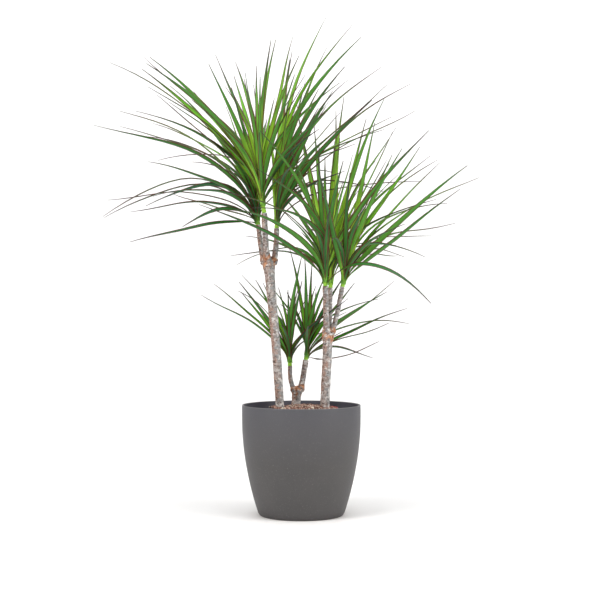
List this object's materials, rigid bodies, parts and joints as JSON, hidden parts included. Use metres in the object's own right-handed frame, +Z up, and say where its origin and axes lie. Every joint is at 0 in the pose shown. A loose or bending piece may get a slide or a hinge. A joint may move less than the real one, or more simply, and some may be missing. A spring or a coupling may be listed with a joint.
{
  "type": "potted dracaena plant",
  "caption": "Potted dracaena with woody canes that fork into stems, each topped by a spray of long narrow leaves, standing in a smooth tapered cover pot.",
  "frame": {"origin": "centre of the cover pot's underside, on the surface it stands on", "axes": "+Z up along the pot, +Y towards the back, +X to the right as seen from the front"},
  "size_m": [0.728, 0.4854, 0.949],
  "materials": {
    "anthracite_plastic": "matte anthracite with a faint grain",
    "terracotta_plastic": "dull red moulded plastic",
    "soil": "loose brown granules",
    "bark": "grey-brown bark with ring scars",
    "leaf": "smooth green leaves with a dull gloss"
  },
  "bodies": {
    "root": {"cover_pot": "anthracite_plastic", "grower_pot": "terracotta_plastic", "soil": "soil", "cane_tall": "bark", "cane_middle": "bark", "cane_short": "bark", "leaves_tall_left": "leaf", "leaves_tall_middle": "leaf", "leaves_tall_right": "leaf", "leaves_middle_front": "leaf", "leaves_middle_back": "leaf", "leaves_middle_right": "leaf", "leaves_short_left": "leaf", "leaves_short_right": "leaf"}
  },
  "joints": []
}
